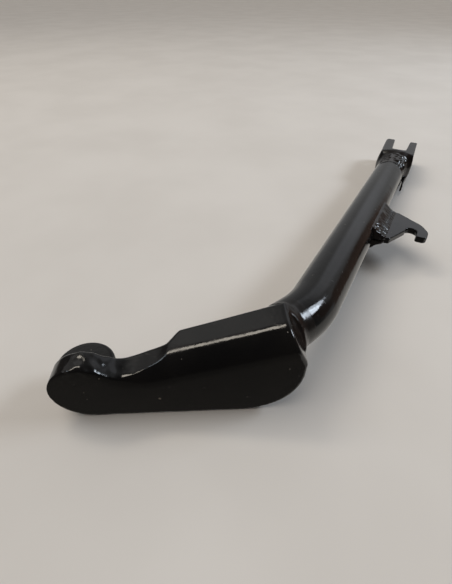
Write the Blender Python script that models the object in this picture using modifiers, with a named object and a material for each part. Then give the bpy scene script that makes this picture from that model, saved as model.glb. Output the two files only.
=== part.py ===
"""A motorcycle side stand: a welded steel leg that lies on its side on a flat surface.

+Y runs along the leg from the foot towards the pivot fork, the pivot axis runs along X and +Z is up.
The foot rests on the long edge of its sole and the fork on the round ends of its ears, so the leg slopes a little.
The origin is the middle of the bottom of the bounding box.
"""

import math

import bmesh
import bpy
from mathutils import Matrix, Vector

MM = 0.001
GAP = 0.3 * MM  # clearance between pieces that meet on the real stand
SAME_POINT = 0.00001
FLAT_ANGLE = math.radians(0.5)

# Leg tube. Distances along the leg are measured from the pivot axis.
TUBE_RADIUS = 12.5 * MM
TUBE_WALL = 3.0 * MM
PIVOT_TO_FOOT_JOINT = 300.0 * MM  # along the straight axis
PIVOT_TO_FORK_JOINT = 72.0 * MM
BEND_RADIUS = 55.0 * MM
BEND_ANGLE = math.radians(20.0)
BEND_TAIL = 1.0 * MM  # the straight end of the tube past the bend
BEND_STEPS = 10
AXIS_HEIGHT_AT_FOOT = 30.4 * MM  # of the straight axis, above the surface that the stand lies on
TUBE_BEVEL_RESOLUTION = 16
CORNER_ANGLE = math.radians(25.0)  # a sharper turn than this is a corner between two roundings
# Depths of a rounded edge's contours, as shares of the rounding
FRONT_LEVELS = (0.0, 0.015, 0.06, 0.13, 0.22, 0.333, 0.5, 0.72, 1.0)
PLATE_LEVELS = (0.0, 0.25, 1.0)
BACK_LEVELS = (1.0, 0.25, 0.0)
ROUND_STEPS = 6
TURNED_SIDES = 36

# Pivot fork
EAR_RADIUS = 13.0 * MM
FORK_WIDTH = 30.0 * MM
FORK_OFFSET = -1.8 * MM  # of the fork's middle from the tube's axis: the left ear is the thicker one
SLOT_OFFSET = -0.8 * MM
SLOT_WIDTH = 14.4 * MM
SLOT_DEPTH = 32.0 * MM  # from the pivot axis to the slot's floor
BRIDGE_LENGTH = 12.0 * MM
FORK_NECK_RADIUS = 10.8 * MM
BORE_RADIUS = 5.1 * MM
FORK_EDGE_ROUNDING = 0.8 * MM
FORK_BACK_RADIUS = 3.0 * MM
SLOT_CORNER_RADIUS = 2.5 * MM
FORK_NECK_ROOT = 2.0 * MM  # how far the neck reaches into the bridge
FORK_SPIGOT_LENGTH = 14.0 * MM
SPIGOT_RADIUS = TUBE_RADIUS - TUBE_WALL - GAP
# The right ear's tail runs back beside the tube. Plan corners: distance right of the tube's axis, and from the pivot
TAIL_CORNERS = ((11.3, 30.0), (11.3, 70.0), (15.4, 70.0), (15.4, 60.0), (13.2, 20.0))
TAIL_HEIGHT = 6.0 * MM
TAIL_ROUNDING = 0.8 * MM

# Foot, in its own frame: X along the sole with the tang at -X, Y from the sole inwards, Z up
SOLE_ANGLE = math.radians(32.0)  # between the sole and the pivot axis
FOOT_JOINT = Vector((61.7, 24.6)) * MM  # where the straight axis passes the tube's foot end
TANG_CENTRE = Vector((-34.0, 17.0)) * MM
TANG_RADIUS = 17.0 * MM
SCOOP = Vector((-18.0, 25.5)) * MM
BODY_START = Vector((1.0, 32.8)) * MM
BODY_END = Vector((51.7, 47.4)) * MM
HEEL_X = 59.0 * MM
HEEL_RADIUS = 26.0 * MM
HEEL_TOP_Z = 33.0 * MM  # where the heel's upright edge starts to lean back to the body's end
BODY_DEPTH = 21.0 * MM  # at X = 0
DEPTH_GROWTH = 0.045  # the body gets deeper towards the heel
BODY_ROUNDING = 9.0 * MM
TANG_ROUNDING = 3.0 * MM
BACK_ROUNDING = 1.5 * MM
TANG_DEPTH = 11.0 * MM
SCOOP_DEPTH = 15.0 * MM
LUG_CENTRE_X = -37.4 * MM
LUG_RADIUS = 13.2 * MM
LUG_REACH = 26.0 * MM  # from the sole to the lug's tip
LUG_THICKNESS = 10.0 * MM
LUG_EDGE_ROUNDING = 1.5 * MM
FOOT_NECK_RADIUS = 12.3 * MM
FOOT_NECK_LENGTH = 16.5 * MM
NECK_STEP = 1.6 * MM  # from the weld bead to the cut heel
FOOT_SPIGOT_LENGTH = 5.5 * MM

# Spring hook plate: corners as distance out from the leg's axis, distance from the pivot axis, corner radius
HOOK_THICKNESS = 4.0 * MM
HOOK_EDGE_ROUNDING = 0.4 * MM
HOOK_BASE_X = 12.9
HOOK_CORNERS = (
    (HOOK_BASE_X, 157.5, 1.0),
    (21.0, 154.0, 2.0),
    (38.5, 166.3, 13.0),
    (43.0, 174.5, 8.0),
    (43.0, 184.6, 3.0),
    (36.2, 184.6, 1.5),
    (36.2, 174.6, 3.3),
    (29.2, 174.6, 3.3),
    (29.2, 179.6, 1.0),
    (22.0, 197.0, 1.5),
    (HOOK_BASE_X, 199.0, 1.0),
)

# Weld beads
FOOT_BEAD_LENGTH = 6.0 * MM
FORK_BEAD_LENGTH = 14.0 * MM
HOOK_BEAD_RADIUS = 2.9 * MM
HOOK_BEAD_START = 160.0 * MM
HOOK_BEAD_END = 192.0 * MM

PAINT_BLACK = (0.012, 0.012, 0.013, 1.0)
WELD_BLACK = (0.018, 0.016, 0.015, 1.0)
PAINT_ROUGHNESS = 0.22
WELD_ROUGHNESS = 0.30

LEG_SLOPE = math.asin((AXIS_HEIGHT_AT_FOOT - EAR_RADIUS) / PIVOT_TO_FOOT_JOINT)


def clear_scene():
    for item in list(bpy.data.objects):
        bpy.data.objects.remove(item, do_unlink=True)


def new_collection(name):
    collection = bpy.data.collections.new(name)
    bpy.context.scene.collection.children.link(collection)
    return collection


def paint(name, colour, roughness):
    material = bpy.data.materials.new(name)
    material.use_nodes = True
    shader = material.node_tree.nodes["Principled BSDF"]
    shader.inputs["Base Color"].default_value = colour
    shader.inputs["Roughness"].default_value = roughness
    shader.inputs["Metallic"].default_value = 0.0
    shader.inputs["Coat Weight"].default_value = 0.5
    return material


clear_scene()
PARTS = new_collection("side_stand")
CUTTERS = new_collection("cutters")
PAINT = paint("black_paint", PAINT_BLACK, PAINT_ROUGHNESS)
WELD = paint("painted_weld", WELD_BLACK, WELD_ROUGHNESS)


def empty(name, location, rotation):
    frame = bpy.data.objects.new(name, None)
    frame.location = location
    frame.rotation_euler = rotation
    PARTS.objects.link(frame)
    return frame


def add_object(name, mesh, parent, material=None, place=None):
    """An object in its parent's frame. Without a material it is a cutter or a helper shape."""
    item = bpy.data.objects.new(name, mesh)
    item.parent = parent
    if place is not None:
        item.matrix_basis = place
    if material is None:
        CUTTERS.objects.link(item)
        item.hide_render = True
        item.display_type = "WIRE"
    else:
        PARTS.objects.link(item)
        mesh.materials.append(material)
    return item


def mesh_of_curve(curve_data):
    """The mesh that a curve makes, with its caps welded to its sides."""
    holder = bpy.data.objects.new("curve_holder", curve_data)
    CUTTERS.objects.link(holder)
    graph = bpy.context.evaluated_depsgraph_get()
    mesh = bpy.data.meshes.new_from_object(holder.evaluated_get(graph))
    bpy.data.objects.remove(holder, do_unlink=True)
    shape = bmesh.new()
    shape.from_mesh(mesh)
    bmesh.ops.remove_doubles(shape, verts=shape.verts, dist=SAME_POINT)
    bmesh.ops.dissolve_limit(shape, angle_limit=FLAT_ANGLE, verts=[], edges=shape.edges)
    bmesh.ops.recalc_face_normals(shape, faces=shape.faces)
    shape.to_mesh(mesh)
    shape.free()
    mesh.materials.clear()
    return mesh


def rod_mesh(points, radius, bevel_resolution=TUBE_BEVEL_RESOLUTION):
    """A round rod along a list of points."""
    data = bpy.data.curves.new("rod", "CURVE")
    data.dimensions = "3D"
    data.bevel_depth = radius
    data.bevel_resolution = bevel_resolution
    data.use_fill_caps = True
    spline = data.splines.new("POLY")
    spline.points.add(len(points) - 1)
    for target, point in zip(spline.points, points):
        target.co = (*point, 1.0)
    return mesh_of_curve(data)


def turned_mesh(profile, sides=TURNED_SIDES):
    """A shape turned about +Z from (radius, height) points. It's a ring if the points keep off the axis."""
    shape = bmesh.new()
    loops = []
    for radius, height in profile:
        angles = [2 * math.pi * i / sides for i in range(sides if radius > 0.0 else 1)]
        loops.append([shape.verts.new((radius * math.cos(a), radius * math.sin(a), height)) for a in angles])
    on_axis = len(loops[0]) == 1
    following = loops[1:] if on_axis else loops[1:] + loops[:1]
    for lower, upper in zip(loops, following):
        for i in range(sides):
            j = (i + 1) % sides
            corners = [lower[i % len(lower)], lower[j % len(lower)], upper[j % len(upper)], upper[i % len(upper)]]
            shape.faces.new(list(dict.fromkeys(corners)))
    bmesh.ops.recalc_face_normals(shape, faces=shape.faces)
    mesh = bpy.data.meshes.new("turned")
    shape.to_mesh(mesh)
    shape.free()
    return mesh


def along(start, direction):
    """The placement of a shape whose own +Z runs from start in a direction."""
    return Matrix.Translation(start) @ direction.to_track_quat("Z", "Y").to_matrix().to_4x4()


def plate_mesh(outline, thickness):
    """A flat plate with the given outline in XY, centred on Z = 0."""
    data = bpy.data.curves.new("plate", "CURVE")
    data.dimensions = "2D"
    data.fill_mode = "BOTH"
    data.extrude = thickness / 2
    spline = data.splines.new("POLY")
    spline.points.add(len(outline) - 1)
    spline.use_cyclic_u = True
    for target, point in zip(spline.points, outline):
        target.co = (point[0], point[1], 0.0, 1.0)
    return mesh_of_curve(data)


def arc(centre, radius, start, end, steps):
    """Points on an arc about a 2D centre, angles in degrees."""
    angles = [math.radians(start + (end - start) * i / steps) for i in range(steps + 1)]
    return [Vector((centre[0] + radius * math.cos(a), centre[1] + radius * math.sin(a))) for a in angles]


def rounded_outline(corners, steps=ROUND_STEPS):
    """A closed outline whose corners (x, y, radius) are rounded with arcs."""
    outline = []
    for i, (x, y, radius) in enumerate(corners):
        corner = Vector((x, y))
        before = (Vector(corners[i - 1][:2]) - corner).normalized()
        after = (Vector(corners[(i + 1) % len(corners)][:2]) - corner).normalized()
        half_angle = before.angle(after) / 2
        centre = corner + (before + after).normalized() * radius / math.sin(half_angle)
        first = corner + before * radius / math.tan(half_angle) - centre
        last = corner + after * radius / math.tan(half_angle) - centre
        turn = first.angle_signed(last)
        outline += [centre + Matrix.Rotation(-turn * k / steps, 2) @ first for k in range(steps + 1)]
    return outline


def inset(rounding, depth):
    """How far a rounded edge is inside its outline at a depth below its face."""
    if depth >= rounding:
        return 0.0
    return rounding - math.sqrt(rounding**2 - (rounding - depth) ** 2)


def inset_contour(outline, roundings, depth):
    """The anticlockwise outline at a depth below a face, where edge i (from point i) has rounding i."""
    contour = []
    for i, point in enumerate(outline):
        before = (point - outline[i - 1]).normalized()
        after = (outline[(i + 1) % len(outline)] - point).normalized()
        inwards = (Vector((-before.y, before.x)), Vector((-after.y, after.x)))
        insets = (inset(roundings[i - 1], depth), inset(roundings[i], depth))
        if before.angle(after) < CORNER_ANGLE:
            middle = (inwards[0] + inwards[1]).normalized()
            contour.append(point + middle * (insets[0] + insets[1]) / 2)
        else:
            move = Matrix(inwards).inverted() @ Vector(insets)
            contour.append(point + move)
    return contour


def rounded_block(outline, roundings, depth, back_rounding, levels=FRONT_LEVELS):
    """A block from Y = 0 to depth. Its XZ outline is anticlockwise from -Y, and each edge has a front rounding."""
    largest = max(roundings)
    back_levels = [back_rounding * level for level in BACK_LEVELS]
    contours = [(largest * level, inset_contour(outline, roundings, largest * level)) for level in levels]
    back = [back_rounding] * len(outline)
    contours += [(depth - level, inset_contour(outline, back, level)) for level in back_levels]
    shape = bmesh.new()
    rings = [[shape.verts.new((point.x, y, point.y)) for point in contour] for y, contour in contours]
    for ring, following in zip(rings, rings[1:]):
        for i in range(len(ring)):
            j = (i + 1) % len(ring)
            shape.faces.new((ring[i], ring[j], following[j], following[i]))
    shape.faces.new(rings[0])
    shape.faces.new(rings[-1])
    bmesh.ops.recalc_face_normals(shape, faces=shape.faces)
    mesh = bpy.data.meshes.new("block")
    shape.to_mesh(mesh)
    shape.free()
    return mesh


def rounded_plate(outline, thickness, rounding):
    """A plate centred on Z = 0, with an anticlockwise XY outline and evenly rounded edges."""
    mesh = rounded_block(outline, [rounding] * len(outline), thickness, rounding, PLATE_LEVELS)
    mesh.transform(Matrix.Rotation(math.radians(-90.0), 4, "X") @ Matrix.Translation((0.0, -thickness / 2, 0.0)))
    return mesh


def combine(item, other, operation):
    boolean = item.modifiers.new(other.name, "BOOLEAN")
    boolean.operation = operation
    boolean.object = other
    boolean.solver = "EXACT"


def round_edges(item, width, segments=2):
    bevel = item.modifiers.new("rounding", "BEVEL")
    bevel.width = width
    bevel.segments = segments
    bevel.limit_method = "ANGLE"
    bevel.angle_limit = math.radians(50.0)


def smooth(mesh):
    mesh.shade_smooth()
    mesh.set_sharp_from_angle(angle=math.radians(35.0))


def leg_path():
    """The tube's centre line in the leg's frame, from the fork end to the foot end."""
    bend_start = -PIVOT_TO_FOOT_JOINT + BEND_RADIUS * math.sin(BEND_ANGLE) + BEND_TAIL * math.cos(BEND_ANGLE)
    points = [Vector((0.0, -PIVOT_TO_FORK_JOINT, 0.0))]
    for step in range(BEND_STEPS + 1):
        angle = BEND_ANGLE * step / BEND_STEPS
        side = -BEND_RADIUS * (1.0 - math.cos(angle))
        points.append(Vector((side, bend_start - BEND_RADIUS * math.sin(angle), 0.0)))
    points.append(points[-1] + foot_joint_direction() * BEND_TAIL)
    return points


def foot_joint_direction():
    """The way the tube's foot end points, in the leg's frame."""
    return Vector((-math.sin(BEND_ANGLE), -math.cos(BEND_ANGLE), 0.0))


def stretched(points, extra):
    """The same path, longer by extra at both ends."""
    start = points[0] + (points[0] - points[1]).normalized() * extra
    end = points[-1] + (points[-1] - points[-2]).normalized() * extra
    return [start, *points[1:-1], end]


def make_leg_tube(leg):
    path = leg_path()
    tube = add_object("leg_tube", rod_mesh(path, TUBE_RADIUS), leg, PAINT)
    smooth(tube.data)
    bore_path = stretched(path, 2 * MM)
    bore = add_object("tube_bore", rod_mesh(bore_path, TUBE_RADIUS - TUBE_WALL), leg)
    combine(tube, bore, "DIFFERENCE")
    return tube


def make_pivot_fork(leg):
    """Two ears with the bolt bore, the bridge behind the slot, the neck and its spigot, and the right ear's tail."""
    back = -SLOT_DEPTH - BRIDGE_LENGTH
    corner = Vector((back + FORK_BACK_RADIUS, EAR_RADIUS - FORK_BACK_RADIUS))
    side_view = arc((0.0, 0.0), EAR_RADIUS, -90.0, 90.0, 24)
    side_view += arc(corner, FORK_BACK_RADIUS, 90.0, 180.0, ROUND_STEPS)
    side_view += arc((corner.x, -corner.y), FORK_BACK_RADIUS, 180.0, 270.0, ROUND_STEPS)
    upright = Matrix.Rotation(math.radians(90.0), 4, "Z") @ Matrix.Rotation(math.radians(90.0), 4, "X")
    aside = Matrix.Translation((FORK_OFFSET, 0.0, 0.0))
    block = rounded_plate(side_view, FORK_WIDTH, FORK_EDGE_ROUNDING)
    fork = add_object("pivot_fork", block, leg, PAINT, aside @ upright)
    smooth(fork.data)
    slot_end = 2 * EAR_RADIUS
    slot_view = rounded_outline(
        (
            (-SLOT_WIDTH / 2, -SLOT_DEPTH, SLOT_CORNER_RADIUS),
            (SLOT_WIDTH / 2, -SLOT_DEPTH, SLOT_CORNER_RADIUS),
            (SLOT_WIDTH / 2, slot_end, SLOT_CORNER_RADIUS),
            (-SLOT_WIDTH / 2, slot_end, SLOT_CORNER_RADIUS),
        )
    )
    slot_place = Matrix.Translation((SLOT_OFFSET, 0.0, 0.0))
    slot = add_object("fork_slot", plate_mesh(slot_view, 4 * EAR_RADIUS), leg, None, slot_place)
    combine(fork, slot, "DIFFERENCE")
    across = Vector((FORK_WIDTH, 0.0, 0.0))
    bore = add_object("pivot_bore", rod_mesh([-across, across], BORE_RADIUS), leg)
    combine(fork, bore, "DIFFERENCE")
    root = back + FORK_NECK_ROOT
    spigot_end = root + PIVOT_TO_FORK_JOINT + FORK_SPIGOT_LENGTH
    shoulder = root + PIVOT_TO_FORK_JOINT - FORK_BEAD_LENGTH - 2 * GAP
    profile = [
        (0.0, 0.0),
        (FORK_NECK_RADIUS, 0.0),
        (FORK_NECK_RADIUS, shoulder),
        (SPIGOT_RADIUS, shoulder),
        (SPIGOT_RADIUS, spigot_end),
        (0.0, spigot_end),
    ]
    neck_place = along(Vector((0.0, root, 0.0)), Vector((0.0, -1.0, 0.0)))
    neck = add_object("fork_neck", turned_mesh(profile), leg, None, neck_place)
    combine(fork, neck, "UNION")
    tail_plan = [Vector((x, -distance)) * MM for x, distance in TAIL_CORNERS]
    tail_mesh = rounded_plate(tail_plan, TAIL_HEIGHT, TAIL_ROUNDING)
    tail_place = Matrix.Translation((0.0, 0.0, TAIL_HEIGHT / 2 - EAR_RADIUS))
    tail = add_object("ear_tail", tail_mesh, leg, None, tail_place)
    combine(fork, tail, "UNION")
    return fork


def foot_outline():
    """The foot seen from the sole, anticlockwise from the bottom of the heel, and the rounding of each edge."""
    sections = []
    heel_centre = (HEEL_X - HEEL_RADIUS, HEEL_RADIUS)
    heel = arc(heel_centre, HEEL_RADIUS, -90.0, 0.0, 14)
    heel.append(Vector((HEEL_X, HEEL_TOP_Z)))
    sections.append((heel, TANG_ROUNDING, TANG_ROUNDING))
    sections.append(([BODY_END.lerp(BODY_START, i / 8) for i in range(8)], BODY_ROUNDING, BODY_ROUNDING))
    steps = 12
    slope_down = []
    for i in range(steps):
        t = 1 - i / steps
        slope_down.append(Vector((SCOOP.x + (BODY_START.x - SCOOP.x) * t, SCOOP.y + (BODY_START.y - SCOOP.y) * t**1.9)))
    sections.append((slope_down[:4], BODY_ROUNDING, TANG_ROUNDING))
    sections.append((slope_down[4:], TANG_ROUNDING, TANG_ROUNDING))
    crest = Vector((TANG_CENTRE.x, TANG_CENTRE.y + TANG_RADIUS))
    rise = []
    for i in range(steps):
        height = (1 - math.cos(math.pi * i / steps)) / 2
        rise.append(Vector((SCOOP.x + (crest.x - SCOOP.x) * i / steps, SCOOP.y + (crest.y - SCOOP.y) * height)))
    sections.append((rise + arc(TANG_CENTRE, TANG_RADIUS, 90.0, 270.0, 28), TANG_ROUNDING, TANG_ROUNDING))
    outline = []
    roundings = []
    for points, first, last in sections:
        outline += points
        roundings += [first + (last - first) * i / len(points) for i in range(len(points))]
    return outline, roundings


def make_foot(foot_frame, leg):
    """The forged shoe: sole, body, scoop, tang, kick lug, and the neck and spigot that meet the tube."""
    mesh = rounded_block(*foot_outline(), BODY_DEPTH, BACK_ROUNDING)
    for vertex in mesh.vertices:
        if vertex.co.y > BODY_DEPTH / 2:
            vertex.co.y += DEPTH_GROWTH * vertex.co.x
    foot = add_object("foot", mesh, foot_frame, PAINT)
    smooth(foot.data)

    # The back of the tang and the scoop is cut away, so that they are thinner than the body.
    far_left = TANG_CENTRE.x - 2 * TANG_RADIUS
    plan = (
        Vector((far_left, TANG_DEPTH)),
        Vector((TANG_CENTRE.x + 4 * MM, TANG_DEPTH)),
        Vector((BODY_START.x - 8 * MM, SCOOP_DEPTH)),
        Vector((BODY_START.x + 1 * MM, SCOOP_DEPTH + 1 * MM)),
        Vector((BODY_START.x + 5 * MM, BODY_DEPTH + 2 * MM)),
        Vector((far_left, BODY_DEPTH + 2 * MM)),
    )
    relief = add_object("tang_relief", plate_mesh(plan, 8 * TANG_RADIUS), foot_frame)
    combine(foot, relief, "DIFFERENCE")

    tip_centre = (LUG_CENTRE_X, LUG_REACH - LUG_RADIUS)
    lug_plan = arc(tip_centre, LUG_RADIUS, 0.0, 180.0, 24)
    lug_plan += [Vector((LUG_CENTRE_X - LUG_RADIUS, TANG_DEPTH / 2)), Vector((LUG_CENTRE_X + LUG_RADIUS, TANG_DEPTH / 2))]
    lug_place = Matrix.Translation((0.0, 0.0, TANG_CENTRE.y))
    lug_mesh = rounded_plate(lug_plan, LUG_THICKNESS, LUG_EDGE_ROUNDING)
    lug = add_object("kick_lug", lug_mesh, foot_frame, None, lug_place)
    combine(foot, lug, "UNION")

    # The heel's back corner is cut square to the tube, and the neck grows out of the cut.
    onward = foot_joint_direction()
    cut_length = 20 * MM
    cut_radius = 40 * MM
    cut_start = leg_path()[-1] + onward * (FOOT_BEAD_LENGTH + NECK_STEP)
    corner_mesh = turned_mesh([(0.0, 0.0), (cut_radius, 0.0), (cut_radius, cut_length), (0.0, cut_length)])
    corner = add_object("heel_corner", corner_mesh, leg, None, along(cut_start, -onward))
    combine(foot, corner, "DIFFERENCE")

    shoulder = FOOT_SPIGOT_LENGTH + FOOT_BEAD_LENGTH + 2 * GAP
    profile = [
        (0.0, 0.0),
        (SPIGOT_RADIUS, 0.0),
        (SPIGOT_RADIUS, shoulder),
        (FOOT_NECK_RADIUS, shoulder),
        (FOOT_NECK_RADIUS, shoulder + FOOT_NECK_LENGTH),
        (0.0, shoulder + FOOT_NECK_LENGTH),
    ]
    neck_place = along(leg_path()[-1] - onward * FOOT_SPIGOT_LENGTH, onward)
    neck = add_object("foot_neck", turned_mesh(profile), leg, None, neck_place)
    combine(foot, neck, "UNION")
    return foot


def make_spring_hook(leg):
    corners = [(x * MM, -distance * MM, radius * MM) for x, distance, radius in HOOK_CORNERS]
    plate = rounded_plate(rounded_outline(corners[::-1]), HOOK_THICKNESS, HOOK_EDGE_ROUNDING)
    hook = add_object("spring_hook", plate, leg, PAINT)
    smooth(hook.data)
    return hook


def ring_bead(name, length, bulges, place, leg):
    """A weld bead round a spigot: a ring along its own +Z. Its bulges from end to end are measured from the tube."""
    inner = SPIGOT_RADIUS + GAP
    steps = len(bulges) - 1
    profile = [(TUBE_RADIUS + bulge * MM, length * i / steps) for i, bulge in enumerate(bulges)]
    profile += [(inner, length), (inner, 0.0)]
    bead = add_object(name, turned_mesh(profile), leg, WELD, place)
    smooth(bead.data)
    return bead


def make_foot_weld(leg):
    onward = foot_joint_direction()
    start = leg_path()[-1] + onward * GAP
    return ring_bead("foot_weld", FOOT_BEAD_LENGTH, (-0.2, 0.3, 0.5, 0.3, -0.1), along(start, onward), leg)


def make_fork_weld(leg):
    forward = Vector((0.0, 1.0, 0.0))
    start = forward * (GAP - PIVOT_TO_FORK_JOINT)
    bulges = (-0.1, 0.3, 0.4, 0.0, -0.6, -1.1, -1.6)
    return ring_bead("fork_weld", FORK_BEAD_LENGTH, bulges, along(start, forward), leg)


def make_hook_weld(name, side, leg):
    """A bead in the corner between the tube and one face of the hook plate. side is +1 above and -1 below."""
    height = HOOK_THICKNESS / 2 + HOOK_BEAD_RADIUS + GAP
    out = math.sqrt((TUBE_RADIUS + HOOK_BEAD_RADIUS + GAP) ** 2 - height**2)
    ends = (HOOK_BEAD_START, HOOK_BEAD_END)
    path = [Vector((out, -distance, side * height)) for distance in ends]
    bead = add_object(name, rod_mesh(path, HOOK_BEAD_RADIUS, 4), leg, WELD)
    round_edges(bead, 1.0 * MM)
    return bead


def settle(parts, frames):
    """Move the frames so that the origin is the middle of the bottom of the bounding box."""
    bpy.context.view_layer.update()
    graph = bpy.context.evaluated_depsgraph_get()
    corners = []
    for part in parts:
        evaluated = part.evaluated_get(graph)
        corners += [evaluated.matrix_world @ vertex.co for vertex in evaluated.data.vertices]
    low = Vector([min(c[k] for c in corners) for k in range(3)])
    high = Vector([max(c[k] for c in corners) for k in range(3)])
    middle = Vector(((low.x + high.x) / 2, (low.y + high.y) / 2, low.z))
    for frame in frames:
        frame.location -= middle
    bpy.context.view_layer.update()


def main():
    leg = empty("leg_frame", (0.0, 0.0, EAR_RADIUS), (-LEG_SLOPE, 0.0, 0.0))
    joint = Vector((0.0, -PIVOT_TO_FOOT_JOINT * math.cos(LEG_SLOPE), 0.0))
    turn = Matrix.Rotation(SOLE_ANGLE, 3, "Z")
    foot_location = joint - turn @ Vector((FOOT_JOINT.x, FOOT_JOINT.y, 0.0))
    foot_frame = empty("foot_frame", foot_location, (0.0, 0.0, SOLE_ANGLE))
    parts = [
        make_leg_tube(leg),
        make_foot(foot_frame, leg),
        make_pivot_fork(leg),
        make_spring_hook(leg),
        make_foot_weld(leg),
        make_fork_weld(leg),
        make_hook_weld("hook_weld_upper", 1, leg),
        make_hook_weld("hook_weld_lower", -1, leg),
    ]
    settle(parts, (leg, foot_frame))


main()
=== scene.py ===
"""The looks of a black painted motorcycle side stand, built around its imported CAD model.

The tube is swept along its centre line. Every other piece is a closed mesh made from a signed distance
field. All are worked out in millimetres, in one of two frames. The leg's frame has the pivot at its origin
and the straight tube along -Y. The foot's frame has X along the sole, Y from the sole inwards and Z up. Both
are placed from the box of the fork's CAD node.
"""

import math
from functools import partial
from itertools import product

import bpy
import numpy as np
from mathutils import Euler, Matrix, Vector


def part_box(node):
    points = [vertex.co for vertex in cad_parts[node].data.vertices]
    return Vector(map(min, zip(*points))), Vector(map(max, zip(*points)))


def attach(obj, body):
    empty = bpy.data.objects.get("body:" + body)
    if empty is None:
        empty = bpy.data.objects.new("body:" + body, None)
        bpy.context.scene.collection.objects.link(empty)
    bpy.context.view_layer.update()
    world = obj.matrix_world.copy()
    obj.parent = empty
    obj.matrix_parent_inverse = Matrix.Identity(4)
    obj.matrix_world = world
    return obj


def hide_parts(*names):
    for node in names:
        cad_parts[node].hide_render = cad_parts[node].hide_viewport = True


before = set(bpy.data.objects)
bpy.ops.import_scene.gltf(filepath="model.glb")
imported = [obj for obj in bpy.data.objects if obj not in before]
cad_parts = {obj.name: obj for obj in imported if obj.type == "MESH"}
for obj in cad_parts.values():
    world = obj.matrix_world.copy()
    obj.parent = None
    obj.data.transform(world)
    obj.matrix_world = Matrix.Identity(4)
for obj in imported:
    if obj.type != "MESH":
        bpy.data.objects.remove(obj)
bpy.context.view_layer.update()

MM = 0.001

# Tube, in the leg's frame. Distances along the leg are measured from the pivot axis.
TUBE_RADIUS = 12.5
TUBE_BORE = 9.5  # the bore's radius
TUBE_EDGE = 0.5
TUBE_START = 72.0
PIVOT_TO_FOOT_JOINT = 300.0
BEND_RADIUS = 55.0
BEND_ANGLE = math.radians(20.0)
BEND_TAIL = 1.0  # a straight stretch after the bend
AXIS_HEIGHT_AT_FOOT = 30.4
TUBE_SIDES = 128
STRAIGHT_STEPS = 40
BEND_STEPS = 32
END_RING_GAP = 0.1  # an extra ring this close to the foot end keeps the shading smooth up to it

# Pivot fork
EAR_RADIUS = 13.0
FORK_LEFT = 16.8  # the left ear's outer face, from the tube's axis
FORK_RIGHT = 13.2
LEFT_FLARE = 0.059  # how fast each outer face leaves the leg's direction
RIGHT_FLARE = 0.045
LEFT_EDGE = 2.5
FORK_EDGE = 1.1
SLOT_LEFT = 8.2
SLOT_RIGHT = 6.4
SLOT_TAPER = 0.07
SLOT_FLOOR = 32.0
SLOT_CORNER = 2.5
BRIDGE_BACK = 44.0
BRIDGE_CORNER = 3.0
BRIDGE_OVERLAP = 2.0  # how far the neck and the weld run into the bridge
BORE_RADIUS = 5.1
BORE_EDGE = 0.6
FORK_NECK_RADIUS = 10.8
FORK_NECK_FILLET = 3.0
FORK_NECK_END = 57.4
FORK_SPIGOT_END = 86.0
SPIGOT_RADIUS = 9.2
TAIL_PLAN = ((11.3, -30.0), (13.6, -70.0), (15.4, -70.0), (15.2, -44.0), (13.4, -20.0))
TAIL_BOTTOM = -13.0
TAIL_HEIGHT = 6.0
TAIL_EDGE = 1.0
TAIL_FILLET = 1.5

# Foot, in the foot's frame
SOLE_ANGLE = math.radians(32.0)
FOOT_JOINT = (61.7, 24.6)
TANG_X = -34.0
TANG_RADIUS = 17.0
SCOOP_X = -18.0
SCOOP_HEIGHT = 26.3
SCOOP_POWER = 1.9
BODY_X = 1.0
BODY_HEIGHT = 32.8
BODY_SLOPE = math.radians(16.06)
BODY_LIFT_X = -6.0  # left of here the body's top is let go, so that the tang can rise
BODY_LIFT = 0.05
HEEL_X = 59.0
HEEL_RADIUS = 26.0
HEEL_TOP = 33.0
HEEL_LEAN = math.radians(26.9)
BODY_ROUNDING = 9.0
SOLE_ROUNDING = 0.7
BACK_ROUNDING = 2.0
HEEL_CORNER_ROUNDING = 1.5
BEVEL_ANGLE = math.radians(9.0)  # a worn strip along the front of the foot's top
BODY_BEVEL = 10.5  # how far back from the sole the strip reaches
TANG_BEVEL = 2.6
BEVEL_SOFTNESS = 0.15
TANG_DEPTH = 11.0
SCOOP_DEPTH = 15.5
SCOOP_STEP = (-30.0, -6.0)  # where the depth grows from the tang's to the scoop's
BODY_DEPTH = 21.0
BODY_STEP = (-1.0, 6.0)
DEPTH_GROWTH = 0.045
LUG_X = -37.4
LUG_RADIUS = 13.2
LUG_TIP = 26.0
LUG_HALF_THICKNESS = 5.0
LUG_ROUNDING = 1.5
LUG_FILLET = 2.0

# The foot's joint with the tube, along the tube's axis from the tube's end
FOOT_NECK_RADIUS = 12.3
FOOT_WELD_LENGTH = 6.0
NECK_STEP = 1.6
FOOT_FACE = FOOT_WELD_LENGTH + NECK_STEP  # where the foot's body starts
FOOT_FACE_ROUNDING = 1.5
FOOT_NECK_LENGTH = 16.5
FOOT_SPIGOT_LENGTH = 5.5
SPIGOT_OVERLAP = 1.0

# Spring hook: corners as distance out from the leg's axis, distance along -Y, corner radius
HOOK_CORNERS = (
    (12.9, 157.5, 1.0),
    (21.0, 154.0, 2.0),
    (38.5, 166.3, 13.0),
    (43.0, 174.5, 8.0),
    (43.0, 184.6, 3.0),
    (36.2, 184.6, 1.5),
    (36.2, 174.6, 3.3),
    (29.2, 174.6, 3.3),
    (29.2, 179.6, 1.0),
    (22.0, 197.0, 1.5),
    (12.9, 199.0, 1.0),
)
HOOK_HALF_THICKNESS = 2.0
HOOK_EDGE = 0.55
CORNER_STEPS = 8

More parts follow.
